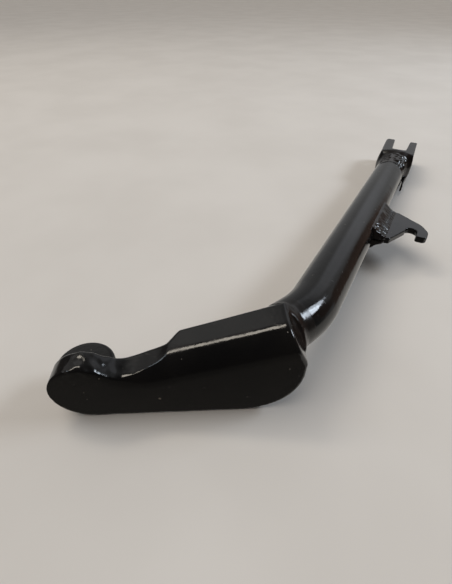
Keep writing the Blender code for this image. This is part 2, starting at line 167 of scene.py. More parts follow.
# Welds
WELD_SINK = 0.35  # how far a fillet weld lies inside the pieces that it joins, away from the joint
WELD_TOE = 0.6  # the height of the fillet where it has come out of them in full
WELD_END_ROUNDING = 0.3
WELD_BORE_GAP = 0.3
ONTO_TUBE_FADE = (0.2, 1.2)  # how far onto the tube the sink starts
NEARER_FADE = (-0.5, 0.5)  # by how much the piece beyond the tube is the nearer one
FOOT_WELD_FILLET = 6.0
FOOT_WELD_TUBE = 10.0  # the length of tube that the foot's weld takes in
FOOT_WELD_SPAN = (-5.0, 17.0)  # along the tube's axis from its end
FOOT_WELD_TOP_ROUNDING = 1.0
FORK_WELD_FILLET = 8.0
FORK_WELD_REACH = 3.0  # onto the tube
HOOK_WELD_FILLET = 9.0
HOOK_WELD_START = 148.0
HOOK_WELD_END = 200.0
HOOK_WELD_CENTRE = (13.0, 4.0)  # the middle of the round that bounds the weld, across the leg
HOOK_WELD_RADIUS = 11.0
HOOK_WELD_CORNER = 2.0
HOOK_WELD_EDGE = 0.6
HOOK_WELD_LOWERING = 0.3
HOOK_WELD_GAP = 0.4  # from the plate's middle plane
HOOK_WELD_BORE_GAP = 0.5
HOOK_WELD_LUMPY = (182.0, 192.0)  # where the lumps of its lower end begin
RIPPLE_PITCH = 3.4
RIPPLE_HEIGHT = 0.16
RIPPLE_BOW = 0.10
RIPPLE_BOW_X = 16.0
RIPPLE_X = 17.5  # the ripples show most here
RIPPLE_SPREAD = 8.0

# Lumps of the fork's weld: rows along the leg, degrees round the tube, and ranges of the random draws
BLOB_ROWS = (66.0, 60.5, 55.0, 49.5)
BLOB_DEGREES = (42, 62, 84, 112, 140)
BLOB_TURN = 7.0
BLOB_SLIDE = 1.5
BLOB_DEPTH = (0.45, 0.7)
LARGE_BLOB = (3.6, 4.6)
SMALL_BLOB = (1.8, 2.6)
LARGE_BLOB_DEGREES = 80
BLOB_SEED = 8
BLOB_MELT = 0.7
BLOB_WELD_MELT = 0.9

# Unevenness: height, wavelength and the seed of its draw
FOOT_WAVES = (0.05, 24.0, 3)
TANG_LUMPS = (0.14, 4.5, 5)
FORK_WAVES = (0.04, 16.0, 21)
HOOK_WAVES = (0.03, 9.0, 31)
FOOT_WELD_WAVES = (0.16, 7.0, 11)
FORK_WELD_WAVES = (0.12, 7.0, 17)
HOOK_WELD_WAVES = (0.15, 9.0)
HOOK_WELD_SEED = 43  # plus the side
HOOK_WELD_LUMPS = (0.35, 4.5, 47)
RIPPLE_WANDER = (0.8, 12.0, 41)
WAVE_COUNT = 12
WAVE_SPREAD = (0.7, 1.5)  # the shortest and the longest wave, in wavelengths
WAVE_PEAK = 1.6
LUMPS_CENTRE = (-29.0, 2.0)
LUMPS_FADE = (7.0, 17.0)
LUMPS_HEIGHTS = (22.0, 30.0)

# Meshing
BLOCK = 5  # grid samples along each side of a block
BLOCK_MARGIN = 1.3  # blocks this close to the surface, in block sizes, are sampled in full
SETTLE_STEPS = 3
LEAST_STEEPNESS = 0.2

# Camera, in the foot's frame
CAMERA_PLACE = (21.6, -85.4, 150.2)
CAMERA_HEADING = math.radians(2.5)
CAMERA_PITCH = math.radians(41.715)
CAMERA_LENS = 21.575
CAMERA_SENSOR = 36.0
CAMERA_CLIP = 0.005


# ---------------------------------------------------------------- frames

LEG_SLOPE = math.asin((AXIS_HEIGHT_AT_FOOT - EAR_RADIUS) / PIVOT_TO_FOOT_JOINT)


def leg_frame():
    """The leg's frame in millimetres, from the box of the fork's CAD node."""
    low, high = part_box("pivot_fork")
    pivot = Vector((low.x / MM + FORK_LEFT, high.y / MM - EAR_RADIUS, low.z / MM + EAR_RADIUS))
    return Matrix.Translation(pivot) @ Matrix.Rotation(-LEG_SLOPE, 4, "X")


def foot_frame(leg):
    """The foot's frame, turned by the sole's angle. The tube's axis passes its joint point."""
    turn = Matrix.Rotation(SOLE_ANGLE, 4, "Z")
    joint = leg.translation + Vector((0.0, -PIVOT_TO_FOOT_JOINT * math.cos(LEG_SLOPE), 0.0))
    place = joint - turn.to_3x3() @ Vector((*FOOT_JOINT, 0.0))
    place.z = leg.translation.z - EAR_RADIUS
    return Matrix.Translation(place) @ turn


LEG = leg_frame()
FOOT = foot_frame(LEG)
LEG_TO_FOOT = (LEG.inverted() @ FOOT).inverted()
BEND_START = -PIVOT_TO_FOOT_JOINT + BEND_RADIUS * math.sin(BEND_ANGLE) + BEND_TAIL * math.cos(BEND_ANGLE)
ONWARD = np.array((-math.sin(BEND_ANGLE), -math.cos(BEND_ANGLE), 0.0))  # the way the tube's foot end points


def bend_point(angle):
    """The point of the tube's centre line where it has turned by this angle."""
    side = -BEND_RADIUS * (1.0 - math.cos(angle))
    return np.array((side, BEND_START - BEND_RADIUS * math.sin(angle), 0.0))


TUBE_END = bend_point(BEND_ANGLE) + BEND_TAIL * ONWARD


# ---------------------------------------------------------------- fields

def cut_round(a, b, radius):
    """The common part of two fields, with an edge of this radius."""
    outside = np.hypot(np.maximum(a + radius, 0.0), np.maximum(b + radius, 0.0))
    return np.minimum(np.maximum(a, b), -radius) + outside


def join_round(a, b, radius):
    """Two fields joined, with a fillet of this radius."""
    return -cut_round(-a, -b, radius)


def join_soft(a, b, reach):
    """Two fields melted together over a reach."""
    share = np.maximum(reach - np.abs(a - b), 0.0) / reach
    return np.minimum(a, b) - share * share * reach / 4.0


def smooth_step(value, start, end):
    """Zero before the start, one past the end, and an eased rise between them."""
    t = np.clip((value - start) / (end - start), 0.0, 1.0)
    return t * t * (3.0 - 2.0 * t)


def below_curve(height, x, z):
    """The field of what lies under z = height(x)."""
    step = 0.05
    slope = (height(x + step) - height(x - step)) / (2 * step)
    return (z - height(x)) / np.sqrt(1.0 + slope * slope)


def polygon_distance(x, y, corners):
    """Signed distance to a closed 2D outline."""
    nearest = np.full(x.shape, np.inf)
    inside = np.zeros(x.shape, bool)
    for (x0, y0), (x1, y1) in zip(corners, corners[1:] + corners[:1]):
        dx, dy = x1 - x0, y1 - y0
        t = np.clip(((x - x0) * dx + (y - y0) * dy) / (dx * dx + dy * dy), 0.0, 1.0)
        nearest = np.minimum(nearest, (x - x0 - t * dx) ** 2 + (y - y0 - t * dy) ** 2)
        if dy != 0.0:
            inside ^= ((y0 > y) != (y1 > y)) & (x < x0 + dx * (y - y0) / dy)
    distance = np.sqrt(nearest)
    return np.where(inside, -distance, distance)


def waves(points, height, wavelength, seed):
    """Smooth unevenness of about this height up and down, the sum of plane waves in seeded directions."""
    draw = np.random.default_rng(seed)
    directions = draw.normal(size=(WAVE_COUNT, 3))
    directions /= np.linalg.norm(directions, axis=1)[:, None]
    numbers = 2.0 * math.pi / (wavelength * draw.uniform(*WAVE_SPREAD, WAVE_COUNT))
    phases = draw.uniform(0.0, 2.0 * math.pi, WAVE_COUNT)
    total = np.zeros(len(points))
    for direction, number, phase in zip(directions, numbers, phases):
        total += np.sin(points @ direction * number + phase)
    return height * (total / math.sqrt(WAVE_COUNT / 2.0) / WAVE_PEAK)


def to_frame(points, matrix):
    """Points moved by a matrix."""
    m = np.array(matrix)
    return points @ m[:3, :3].T + m[:3, 3]


def field_gradient(field, points):
    """The slope of a field along each axis."""
    step = 0.04
    slopes = []
    for axis in np.eye(3) * step:
        slopes.append((field(points + axis) - field(points - axis)) / (2 * step))
    return np.stack(slopes, axis=1)


def values_on_grid(field, low, counts, cell):
    """A field on a grid. Away from its surface, a block of samples takes the value at the block's middle."""
    block_counts = [math.ceil(count / BLOCK) for count in counts]
    middle = cell * (BLOCK - 1) / 2
    axes = [bottom + middle + cell * BLOCK * np.arange(count) for bottom, count in zip(low, block_counts)]
    block_middles = np.stack(np.meshgrid(*axes, indexing="ij"), axis=-1).reshape(-1, 3)
    values = field(block_middles).reshape(block_counts)
    for axis, count in enumerate(counts):
        values = np.take(np.repeat(values, BLOCK, axis), range(count), axis)
    near = np.abs(values) < BLOCK_MARGIN * cell * BLOCK
    values[near] = field(np.array(low) + cell * np.argwhere(near))
    return values


def surface_of(field, low, high, cell):
    """Vertices and quads of the surface where a field is zero, one vertex in each grid cell it crosses."""
    counts = [math.ceil((top - bottom) / cell) + 1 for bottom, top in zip(low, high)]
    values = values_on_grid(field, low, counts, cell)
    cell_counts = [count - 1 for count in counts]
    owners, places = [], []
    for axis in range(3):
        u, v = (axis + 1) % 3, (axis + 2) % 3
        before = np.take(values, range(counts[axis] - 1), axis)
        after = np.take(values, range(1, counts[axis]), axis)
        edges = np.argwhere((before < 0.0) != (after < 0.0))
        start, end = before[tuple(edges.T)], after[tuple(edges.T)]
        place = np.array(low) + cell * edges
        place[:, axis] += cell * start / (start - end)
        around = []
        for du, dv in ((0, 0), (-1, 0), (-1, -1), (0, -1)):
            corner = edges.copy()
            corner[:, u] += du
            corner[:, v] += dv
            around.append(np.ravel_multi_index(corner.T, cell_counts))
        around = np.stack(around, axis=1)
        around[start > 0.0] = around[start > 0.0][:, ::-1]
        owners.append(around)
        places.append(np.repeat(place, 4, axis=0))
    owners = np.concatenate(owners)
    places = np.concatenate(places)
    _, index = np.unique(owners.reshape(-1), return_inverse=True)
    shares = np.bincount(index)
    vertices = np.stack([np.bincount(index, weights=places[:, k]) / shares for k in range(3)], axis=1)
    for _ in range(SETTLE_STEPS):
        slope = field_gradient(field, vertices)
        steepness = np.maximum((slope * slope).sum(axis=1), LEAST_STEEPNESS)
        move = np.clip(field(vertices) / steepness, -cell / 2, cell / 2)
        vertices -= move[:, None] * slope
    return vertices, index.reshape(-1, 4)


# ---------------------------------------------------------------- the foot

def scoop_height(x):
    """The top of the tang, falling into the scoop and rising into the body's end."""
    crest = 2 * TANG_RADIUS
    fall = (1.0 + np.cos(math.pi * np.clip((x - TANG_X) / (SCOOP_X - TANG_X), 0.0, 1.0))) / 2.0
    rise = (np.maximum(x - SCOOP_X, 0.0) / (BODY_X - SCOOP_X)) ** SCOOP_POWER
    return SCOOP_HEIGHT + (crest - SCOOP_HEIGHT) * fall + (BODY_HEIGHT - SCOOP_HEIGHT) * rise


def body_height(x):
    """The sloping top of the body, lifted clear of the tang."""
    lift = BODY_LIFT * np.maximum(BODY_LIFT_X - x, 0.0) ** 2
    return BODY_HEIGHT + (x - BODY_X) * math.tan(BODY_SLOPE) + lift


def foot_depth(x):
    """How deep the foot is from its sole to its back: thin at the tang, with a step up to the body."""
    scoop = (SCOOP_DEPTH - TANG_DEPTH) * smooth_step(x, *SCOOP_STEP)
    body = (BODY_DEPTH - SCOOP_DEPTH) * smooth_step(x, *BODY_STEP)
    return TANG_DEPTH + scoop + body + DEPTH_GROWTH * np.maximum(x, 0.0)


def bevelled(top, front, width):
    """The field under a top face that leans down a little within this width of the front face."""
    bevel = top * math.cos(BEVEL_ANGLE) + (front + width) * math.sin(BEVEL_ANGLE)
    return -join_soft(-top, -bevel, BEVEL_SOFTNESS)


def foot_block(points):
    """The foot in its own frame, without its neck."""
    x, y, z = points.T
    front = -y
    scoop = below_curve(scoop_height, x, z)
    body = below_curve(body_height, x, z)
    tang = np.where(x < TANG_X, np.hypot(x - TANG_X, z - TANG_RADIUS) - TANG_RADIUS, -z)
    heel_middle = HEEL_X - HEEL_RADIUS
    heel_round = np.hypot(np.maximum(x - heel_middle, 0.0), z - HEEL_RADIUS) - HEEL_RADIUS
    heel = np.where(z < HEEL_RADIUS, heel_round, x - HEEL_X)
    lean = (x - HEEL_X) * math.cos(HEEL_LEAN) + (z - HEEL_TOP) * math.sin(HEEL_LEAN)
    side = np.maximum(np.maximum(tang, heel), lean)
    back = below_curve(foot_depth, x, y)
    body_front = cut_round(bevelled(body, front, BODY_BEVEL), front, BODY_ROUNDING)
    body_front = cut_round(body_front, lean, HEEL_CORNER_ROUNDING)
    sole_front = cut_round(np.maximum(bevelled(scoop, front, TANG_BEVEL), side), front, SOLE_ROUNDING)
    rear = cut_round(np.maximum(np.maximum(scoop, body), side), back, BACK_ROUNDING)
    block = np.maximum(np.maximum(body_front, sole_front), rear)
    lug_middle = LUG_TIP - LUG_RADIUS
    lug_plan = np.hypot(x - LUG_X, np.maximum(y - lug_middle, 0.0)) - LUG_RADIUS
    lug = cut_round(lug_plan, np.abs(z - TANG_RADIUS) - LUG_HALF_THICKNESS, LUG_ROUNDING)
    lug = np.maximum(lug, TANG_DEPTH / 2 - y)
    return join_round(block, lug, LUG_FILLET)


def tube_axis_distance(points):
    """Distance from the line that the tube's foot end points along, and how far along it past the tube."""
    offset = points - TUBE_END
    onward = offset @ ONWARD
    return np.linalg.norm(offset - onward[:, None] * ONWARD, axis=1), onward


def foot_body(own, onward):
    """The foot's block, cut off square to the tube's axis a little past the tube's end."""
    return cut_round(foot_block(own), FOOT_FACE - onward, FOOT_FACE_ROUNDING)


def foot_field(points):
    """The forged foot with its neck and spigot: broad unevenness all over, and lumps on top of the tang."""
    radius, onward = tube_axis_distance(points)
    own = to_frame(points, LEG_TO_FOOT)
    block = foot_body(own, onward)
    past_shoulder = onward - FOOT_WELD_LENGTH
    neck_length = np.maximum(-past_shoulder, past_shoulder - FOOT_NECK_LENGTH)
    neck = np.maximum(radius - FOOT_NECK_RADIUS, neck_length)
    spigot_length = np.maximum(-FOOT_SPIGOT_LENGTH - onward, past_shoulder - SPIGOT_OVERLAP)
    spigot = np.maximum(radius - SPIGOT_RADIUS, spigot_length)
    foot = np.minimum(np.minimum(block, neck), spigot)
    x, y, z = own.T
    on_tang = 1.0 - smooth_step(np.hypot(x - LUMPS_CENTRE[0], y - LUMPS_CENTRE[1]), *LUMPS_FADE)
    lumps = waves(points, *TANG_LUMPS) * on_tang * smooth_step(z, *LUMPS_HEIGHTS)
    return foot + waves(points, *FOOT_WAVES) + lumps


# ---------------------------------------------------------------- the fork and the hook

def fork_block(points):
    """The fork's outside: the ears' round end, the bridge's back and the two flared faces."""
    x, y, z = points.T
    side = np.hypot(np.maximum(y, 0.0), z) - EAR_RADIUS
    profile = cut_round(side, -BRIDGE_BACK - y, BRIDGE_CORNER)
    left = -(x + FORK_LEFT + LEFT_FLARE * np.minimum(y, 0.0))
    right = x - FORK_RIGHT + RIGHT_FLARE * np.minimum(y, 0.0)
    return cut_round(cut_round(profile, left, LEFT_EDGE), right, FORK_EDGE)


def fork_field(points):
    """Two ears and their slot, the bridge behind it, the neck, the spigot, and the right ear's tail."""
    x, y, z = points.T
    across = np.maximum(-(x + SLOT_LEFT + SLOT_TAPER * y), x - SLOT_RIGHT)
    slot = cut_round(across, -SLOT_FLOOR - y, SLOT_CORNER)
    fork = cut_round(fork_block(points), -slot, FORK_EDGE)
    fork = cut_round(fork, BORE_RADIUS - np.hypot(y, z), BORE_EDGE)
    radius = np.hypot(x, z)
    neck_length = np.maximum(-FORK_NECK_END - y, y + BRIDGE_BACK - BRIDGE_OVERLAP)
    fork = join_round(fork, np.maximum(radius - FORK_NECK_RADIUS, neck_length), FORK_NECK_FILLET)
    spigot = np.maximum(radius - SPIGOT_RADIUS, np.maximum(-FORK_SPIGOT_END - y, y + BRIDGE_BACK))
    fork = np.minimum(fork, spigot)
    tail_middle = TAIL_BOTTOM + TAIL_HEIGHT / 2
    tail = polygon_distance(x, y, TAIL_PLAN)
    tail = cut_round(tail, np.abs(z - tail_middle) - TAIL_HEIGHT / 2, TAIL_EDGE)
    return join_round(fork, tail, TAIL_FILLET) + waves(points, *FORK_WAVES)


def rounded_outline(corners):
    """A closed outline whose corners (x, y, radius) are rounded with arcs."""
    outline = []
    for i, (x, y, radius) in enumerate(corners):
        corner = Vector((x, y))
        before = (Vector(corners[i - 1][:2]) - corner).normalized()
        after = (Vector(corners[(i + 1) % len(corners)][:2]) - corner).normalized()
        half_angle = before.angle(after) / 2
        centre = corner + (before + after).normalized() * radius / math.sin(half_angle)
        first = corner + before * radius / math.tan(half_angle) - centre
        last = corner + after * radius / math.tan(half_angle) - centre
        turn = first.angle_signed(last)
        for k in range(CORNER_STEPS + 1):
            point = centre + Matrix.Rotation(-turn * k / CORNER_STEPS, 2) @ first
            outline.append((point.x, point.y))
    return outline


HOOK_OUTLINE = rounded_outline([(x, -distance, radius) for x, distance, radius in HOOK_CORNERS])


def hook_plate(points):
    """The flat hook plate, with softened edges."""
    x, y, z = points.T
    plan = polygon_distance(x, y, HOOK_OUTLINE)
    return cut_round(plan, np.abs(z) - HOOK_HALF_THICKNESS, HOOK_EDGE)


def hook_field(points):
    """The hook plate, slightly uneven."""
    return hook_plate(points) + waves(points, *HOOK_WAVES)


# ---------------------------------------------------------------- the welds

def weld_fillet(first, second, radius, ripple, sink=WELD_SINK):
    """A rippled fillet between two pieces. Where it adds no metal, it lies inside them by the sink."""
    fillet = join_round(first, second, radius)
    raised = smooth_step(np.minimum(first, second) - fillet, 0.0, WELD_TOE)
    return fillet + sink * (1.0 - raised) + ripple * raised


def sink_past_end(tube, other, onto_tube):
    """How deep a weld lies inside its pieces: not at all where it carries the tube's round past its end."""
    on_tube = smooth_step(onto_tube, *ONTO_TUBE_FADE)
    return WELD_SINK * np.maximum(on_tube, smooth_step(tube - other, *NEARER_FADE))


def foot_weld_field(points):
    """A fillet weld between the tube's end and the foot, no higher than the foot's top."""
    radius, onward = tube_axis_distance(points)
    tube_length = np.maximum(-FOOT_WELD_TUBE - onward, onward - FOOT_FACE)
    tube = np.maximum(radius - TUBE_RADIUS, tube_length)
    own = to_frame(points, LEG_TO_FOOT)
    body = foot_body(own, onward)
    ripple = waves(points, *FOOT_WELD_WAVES)
    fillet = weld_fillet(tube, body, FOOT_WELD_FILLET, ripple, sink_past_end(tube, body, -onward))
    foot_top = below_curve(body_height, own[:, 0], own[:, 2])
    fillet = cut_round(fillet, foot_top + WELD_SINK, FOOT_WELD_TOP_ROUNDING)
    start, end = FOOT_WELD_SPAN
    ends = np.maximum(np.maximum(start - onward, onward - end), radius - TUBE_RADIUS - FOOT_WELD_FILLET)
    return np.maximum(cut_round(fillet, ends, WELD_END_ROUNDING), TUBE_BORE + WELD_BORE_GAP - radius)


def blob_field(points, blobs, reach):
    """Spheres (x, y, z, radius) melted together."""
    total = np.full(len(points), np.inf)
    for x, y, z, radius in blobs:
        ball = np.linalg.norm(points - (x, y, z), axis=1) - radius
        total = join_soft(total, ball, reach)
    return total


def fork_weld_blobs():
    """Lumps of weld metal on top of the joint of the tube and the fork, larger towards the right ear."""
    draw = np.random.default_rng(BLOB_SEED)
    blobs = []
    for distance in BLOB_ROWS:
        for degrees in BLOB_DEGREES:
            angle = math.radians(degrees + draw.uniform(-BLOB_TURN, BLOB_TURN))
            size = draw.uniform(*(LARGE_BLOB if degrees < LARGE_BLOB_DEGREES else SMALL_BLOB))
            out = TUBE_RADIUS - draw.uniform(*BLOB_DEPTH) * size
            along = -distance + draw.uniform(-BLOB_SLIDE, BLOB_SLIDE)
            blobs.append((out * math.cos(angle), along, out * math.sin(angle), size))
    return blobs


FORK_WELD_BLOBS = fork_weld_blobs()


def fork_weld_field(points):
    """A heavy weld that carries the tube's round on into the fork's bridge, with lumps on top."""
    x, y, z = points.T
    radius = np.hypot(x, z)
    in_bridge = y + BRIDGE_BACK - BRIDGE_OVERLAP
    tube = np.maximum(radius - TUBE_RADIUS, in_bridge)
    block = fork_block(points)
    ripple = waves(points, *FORK_WELD_WAVES)
    fillet = weld_fillet(tube, block, FORK_WELD_FILLET, ripple, sink_past_end(tube, block, -TUBE_START - y))
    weld = join_soft(fillet, blob_field(points, FORK_WELD_BLOBS, BLOB_MELT), BLOB_WELD_MELT)
    ends = np.maximum(-TUBE_START - FORK_WELD_REACH - y, in_bridge)
    ends = np.maximum(ends, radius - TUBE_RADIUS - FORK_WELD_FILLET)
    return np.maximum(cut_round(weld, ends, WELD_END_ROUNDING), SPIGOT_RADIUS + WELD_BORE_GAP - radius)


def hook_weld_field(points, side):
    """A broad fillet weld between the tube and one face of the hook plate. side is +1 above and -1 below."""
    x, y, z = points.T
    radius = np.hypot(x, z)
    phase = 2.0 * math.pi * (y + RIPPLE_BOW * (x - RIPPLE_BOW_X) ** 2) / RIPPLE_PITCH
    near_toe = np.exp(-((x - RIPPLE_X) ** 2) / RIPPLE_SPREAD)
    ripple = RIPPLE_HEIGHT * np.sin(phase + waves(points, *RIPPLE_WANDER)) * near_toe
    lumps = waves(points, *HOOK_WELD_LUMPS) * smooth_step(-y, *HOOK_WELD_LUMPY)
    rough = waves(points, *HOOK_WELD_WAVES, HOOK_WELD_SEED + side) + lumps
    ripple = ripple + rough - HOOK_WELD_LOWERING
    fillet = weld_fillet(radius - TUBE_RADIUS, hook_plate(points), HOOK_WELD_FILLET, ripple)
    middle = -(HOOK_WELD_START + HOOK_WELD_END) / 2
    half = (HOOK_WELD_END - HOOK_WELD_START) / 2
    centre_x, centre_z = HOOK_WELD_CENTRE
    reach = np.hypot(x - centre_x, np.abs(z) - centre_z) - HOOK_WELD_RADIUS
    bounds = cut_round(np.abs(y - middle) - half, reach, HOOK_WELD_CORNER)
    bead = cut_round(fillet, bounds, HOOK_WELD_EDGE)
    return np.maximum(bead, np.maximum(HOOK_WELD_GAP - side * z, TUBE_BORE + HOOK_WELD_BORE_GAP - radius))


# ---------------------------------------------------------------- pieces

# CAD node, field, grid cell and the margin round the node's box
PAINTED_PIECES = (
    ("foot", foot_field, 0.7, 3.0),
    ("pivot_fork", fork_field, 0.5, 2.5),
    ("spring_hook", hook_field, 0.35, 1.5),
)
WELD_PIECES = (
    ("foot_weld", foot_weld_field, 0.6, 14.0),
    ("fork_weld", fork_weld_field, 0.45, 18.0),
    ("hook_weld_upper", partial(hook_weld_field, side=1), 0.4, 12.0),
    ("hook_weld_lower", partial(hook_weld_field, side=-1), 0.4, 12.0),
)


def add_piece(name, vertices, faces, material, node):
    """A piece from millimetres in the leg's frame. It stands for a CAD node."""
    mesh = bpy.data.meshes.new(name)
    mesh.from_pydata((to_frame(vertices, LEG) * MM).tolist(), [], faces.tolist())
    mesh.materials.append(material)
    mesh.shade_smooth()
    piece = bpy.data.objects.new(name, mesh)
    bpy.context.scene.collection.objects.link(piece)
    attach(piece, "root")
    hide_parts(node)


def field_piece(node, field, cell, margin, material, slot):
    """A piece meshed inside its CAD node's box, widened by a margin."""
    low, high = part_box(node)
    corners = list(product(*zip(low, high)))
    corners = to_frame(np.array(corners) / MM, LEG.inverted())
    vertices, faces = surface_of(field, corners.min(axis=0) - margin, corners.max(axis=0) + margin, cell)
    add_piece(node + "_surface", vertices, faces, material, node)


def tube_stations():
    """Points of the tube's centre line, each with the angle that the tube has turned by there."""
    stations = []
    for i in range(STRAIGHT_STEPS):
        y = -TUBE_START + (BEND_START + TUBE_START) * i / STRAIGHT_STEPS
        stations.append((np.array((0.0, y, 0.0)), 0.0))
    for i in range(BEND_STEPS + 1):
        angle = BEND_ANGLE * i / BEND_STEPS
        stations.append((bend_point(angle), angle))
    stations.append((TUBE_END, BEND_ANGLE))
    return stations


def tube_piece(material):
    """The bent tube: rings of vertices down the outside, and back up the bore."""
    stations = tube_stations()
    fork_end, foot_end = stations[0], stations[-1]
    past_edge = (fork_end[0] - (0.0, TUBE_EDGE, 0.0), 0.0)
    near_foot_end = (foot_end[0] - END_RING_GAP * ONWARD, BEND_ANGLE)
    rings = [(fork_end, TUBE_BORE), (fork_end, TUBE_RADIUS - TUBE_EDGE), (past_edge, TUBE_RADIUS)]
    rings += [(station, TUBE_RADIUS) for station in stations[1:-1]]
    rings += [(near_foot_end, TUBE_RADIUS), (foot_end, TUBE_RADIUS), (foot_end, TUBE_BORE)]
    rings += [(station, TUBE_BORE) for station in stations[-2:0:-1]]
    up = np.array((0.0, 0.0, 1.0))
    vertices, faces = [], []
    for ring, ((centre, turn), radius) in enumerate(rings):
        across = np.array((math.cos(turn), -math.sin(turn), 0.0))
        start = ring * TUBE_SIDES
        next_start = (ring + 1) % len(rings) * TUBE_SIDES
        for k in range(TUBE_SIDES):
            angle = 2.0 * math.pi * k / TUBE_SIDES
            vertices.append(centre + radius * (math.cos(angle) * across + math.sin(angle) * up))
            after = (k + 1) % TUBE_SIDES
            faces.append((start + k, start + after, next_start + after, next_start + k))
    add_piece("leg_tube_surface", np.array(vertices), np.array(faces), material, "leg_tube")


# ---------------------------------------------------------------- nodes

class NodeTree:
    """Short helpers for building a tree of shader nodes."""

    def __init__(self, tree):
        self.tree = tree

    def add(self, kind, **settings):
        node = self.tree.nodes.new(kind)
        for key, value in settings.items():
            setattr(node, key, value)
        return node

    def link(self, output, socket):
        self.tree.links.new(output, socket)

    def put(self, value, socket):
        """A link if the value is a node's output, or else the socket's own value."""
        if isinstance(value, bpy.types.NodeSocket):
            self.link(value, socket)
        else:
            socket.default_value = value

    def maths(self, operation, *values):
        node = self.add("ShaderNodeMath", operation=operation)
        for value, socket in zip(values, node.inputs):
            self.put(value, socket)
        return node.outputs[0]

    def largest(self, values):
        result = values[0]
        for value in values[1:]:
            result = self.maths("MAXIMUM", result, value)
        return result

    def ramp(self, value, low, high, start=0.0, end=1.0):
        """A value turned from low..high into start..end, eased and held at both ends."""
        node = self.add("ShaderNodeMapRange", interpolation_type="SMOOTHSTEP")
        self.put(value, node.inputs["Value"])
        for key, number in (("From Min", low), ("From Max", high), ("To Min", start), ("To Max", end)):
            node.inputs[key].default_value = number
        return node.outputs["Result"]

    def mix(self, share, first, second):
        """Two colours mixed. Inputs 6 and 7 of the node are its colours."""
        node = self.add("ShaderNodeMix", data_type="RGBA")
        self.put(share, node.inputs["Factor"])
        self.put(first, node.inputs[6])
        self.put(second, node.inputs[7])
        return node.outputs[2]


class NodeMaterial(NodeTree):
    """A material. Its texture coordinates are the frame's, in metres."""

    def __init__(self, name):
        self.material = bpy.data.materials.new(name)
        self.material.use_nodes = True
        super().__init__(self.material.node_tree)
        self.shader = self.tree.nodes["Principled BSDF"]
        self.place = self.add("ShaderNodeTexCoord").outputs["Object"]

    def noise(self, scale, detail=3.0, roughness=0.5, vector=None):
        node = self.add("ShaderNodeTexNoise")
        self.link(self.place if vector is None else vector, node.inputs["Vector"])
        node.inputs["Scale"].default_value = scale
        node.inputs["Detail"].default_value = detail
        node.inputs["Roughness"].default_value = roughness
        return node.outputs["Fac"]

    def cells(self, scale):
        """The distance from the middle of each random cell, and the cell's random colour."""
        node = self.add("ShaderNodeTexVoronoi", feature="F1")
        self.link(self.place, node.inputs["Vector"])
        node.inputs["Scale"].default_value = scale
        return node.outputs["Distance"], node.outputs["Color"]

    def stretched(self, stretch, turn):
        node = self.add("ShaderNodeMapping")
        self.link(self.place, node.inputs["Vector"])
        node.inputs["Rotation"].default_value = turn
        node.inputs["Scale"].default_value = stretch
        return node.outputs["Vector"]

    def bump(self, height, distance, below=None):
        node = self.add("ShaderNodeBump")
        self.link(height, node.inputs["Height"])
        node.inputs["Distance"].default_value = distance
        if below is not None:
            self.link(below, node.inputs["Normal"])
        return node.outputs["Normal"]

    def distance(self, centre):
        """The distance from a point in metres."""
        node = self.add("ShaderNodeVectorMath", operation="DISTANCE")
        self.link(self.place, node.inputs[0])
        node.inputs[1].default_value = centre
        return node.outputs["Value"]


# ---------------------------------------------------------------- paint

# Scales are per metre, depths and heights are in metres, and covers are shares of the colour laid on top.
TONE_SCALE = 55.0
TONE_RANGE = (0.35, 0.7)
GLOSS_SCALE = 90.0
GLOSS_RANGE = (0.35, 0.68)
WAVINESS_SCALE = 110.0
WAVINESS_DEPTH = 0.00012
PEEL_SCALE = 520.0
PEEL_DEPTH = 0.00005
SPECK_SCALE = 420.0
SPECK_EDGE = (0.06, 0.16)
SPECK_COLOUR = (0.20, 0.18, 0.155, 1.0)
SPECK_COVER = 0.75
SPECK_ROUGHNESS = 0.3
SPECK_HEIGHT = 0.00006
SCRATCH_SCALE = 140.0
SCRATCH_STRETCH = (0.12, 4.0, 4.0)
SCRATCH_TURNS = ((0.3, 0.1, 0.9), (0.0, 0.5, -0.6))
SCRATCH_RANGE = (0.71, 0.76)
SCRATCH_COLOUR = (0.12, 0.11, 0.10, 1.0)
SCRATCH_COVER = 0.12
SCRATCH_ROUGHNESS = 0.14
SCRATCH_DEPTH = 0.00001
CHIP_RAGGED_SCALE = 900.0
CHIP_EDGE = (0.95, 1.25)  # in chip radii
CHIP_COLOUR = (0.26, 0.22, 0.18, 1.0)
CHIP_COVER = 0.8
FOOT_CHIPS = (  # place in the foot's frame, and radius
    ((5.0, 20.5, 33.5), 0.4),
    ((47.0, 4.0, 45.0), 0.4),
    ((-4.0, 0.0, 12.0), 0.5),
)


def speck_mask(m, dust):
    """Small round specks of dust, in this share of the random cells."""
    distance, random_colour = m.cells(SPECK_SCALE)
    parts = m.add("ShaderNodeSeparateColor")
    m.link(random_colour, parts.inputs[0])
    chosen = m.maths("GREATER_THAN", parts.outputs[0], 1.0 - dust)
    return m.maths("MULTIPLY", m.ramp(distance, *SPECK_EDGE, 1.0, 0.0), chosen)


def scratch_mask(m):
    """Fine scratches in two directions."""
    streaks = []
    for turn in SCRATCH_TURNS:
        direction = m.stretched(SCRATCH_STRETCH, turn)
        streak = m.noise(SCRATCH_SCALE, detail=2.0, roughness=0.4, vector=direction)
        streaks.append(m.ramp(streak, *SCRATCH_RANGE))
    return m.largest(streaks)


def chip_mask(m, chips):
    """Ragged round chips at given places."""
    ragged = m.maths("SUBTRACT", m.noise(CHIP_RAGGED_SCALE, detail=2.0), 0.5)
    inner, outer = CHIP_EDGE
    spots = []
    for centre, radius in chips:
        distance = m.maths("ADD", m.distance(centre), m.maths("MULTIPLY", ragged, radius))
        spots.append(m.ramp(distance, radius * inner, radius * outer, 1.0, 0.0))
    return m.largest(spots)


